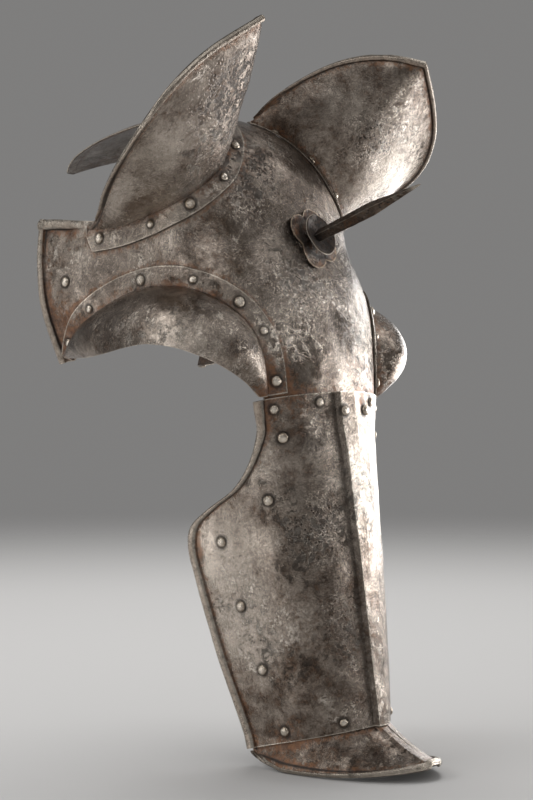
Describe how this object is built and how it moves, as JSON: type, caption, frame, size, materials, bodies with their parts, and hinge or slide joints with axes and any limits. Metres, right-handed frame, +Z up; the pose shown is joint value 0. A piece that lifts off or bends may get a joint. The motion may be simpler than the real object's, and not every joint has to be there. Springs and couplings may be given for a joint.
{
  "type": "chanfron",
  "caption": "Riveted steel plate defence for a horse's head, with ear guards, eye guards, a nose brim and a forehead spike.",
  "frame": {"origin": "middle plane of the part, level with the joint between the brow plate and the nose plate, 91 mm behind the face", "axes": "+Z up along the face towards the poll, -Y out of the face, +X towards the horse's left"},
  "size_m": [0.3994, 0.427, 0.6351],
  "materials": {
    "plate_steel": "aged, mottled and pitted",
    "guard_steel": "aged, mottled and pitted",
    "rivet_steel": "worn bright heads",
    "dark_iron": "rust brown"
  },
  "bodies": {
    "root": {"brow_plate": "plate_steel", "nose_plate": "plate_steel", "nose_brim": "plate_steel", "left_ear_guard": "guard_steel", "right_ear_guard": "guard_steel", "left_eye_guard": "guard_steel", "right_eye_guard": "guard_steel", "rosette": "guard_steel", "rosette_cup": "dark_iron", "spike": "dark_iron", "spike_washer": "dark_iron", "spike_nut": "dark_iron", "left_eye_rivets": "rivet_steel", "right_eye_rivets": "rivet_steel", "left_ear_rivets": "rivet_steel", "right_ear_rivets": "rivet_steel", "joint_rivets": "rivet_steel", "brim_rivets": "rivet_steel", "left_nose_rivets": "rivet_steel", "right_nose_rivets": "rivet_steel", "left_wing_rivet": "rivet_steel", "right_wing_rivet": "rivet_steel", "left_lining_washers": "dark_iron", "right_lining_washers": "dark_iron"}
  },
  "joints": []
}
